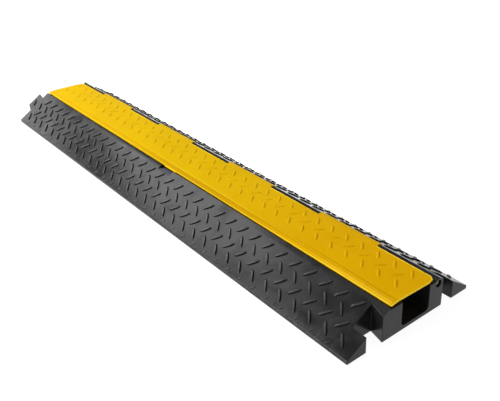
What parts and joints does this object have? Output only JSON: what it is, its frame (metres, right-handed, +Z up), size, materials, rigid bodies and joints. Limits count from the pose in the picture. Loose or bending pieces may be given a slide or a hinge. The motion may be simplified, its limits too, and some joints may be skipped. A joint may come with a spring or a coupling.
{
  "type": "floor cord cover",
  "caption": "One-channel floor cord cover: a rubber ramp moulding with connectors at its ends and a hinged plastic lid over the cord channel.",
  "frame": {"origin": "on the underside, in the middle of the 1000 mm body's length and of its width; the tabs reach 23 mm further at -X", "axes": "+X along the channel from the end with the tabs to the end with the notches, +Y across towards the hinge side, +Z up"},
  "size_m": [1.023, 0.222, 0.0498],
  "materials": {
    "black_rubber": "satin moulded rubber",
    "yellow_plastic": "satin moulded plastic",
    "dark_steel": "drawn and blackened"
  },
  "bodies": {
    "base": {"rubber_base": "black_rubber", "hinge_rod": "dark_steel"},
    "lid": {"cover_lid": "yellow_plastic"}
  },
  "joints": [
    {"name": "lid_hinge", "type": "hinge", "parent": "base", "child": "lid", "pos_m": [0, 0.0495, 0.0386], "axis": [-1, 0, 0], "range_deg": [0, 95]}
  ]
}
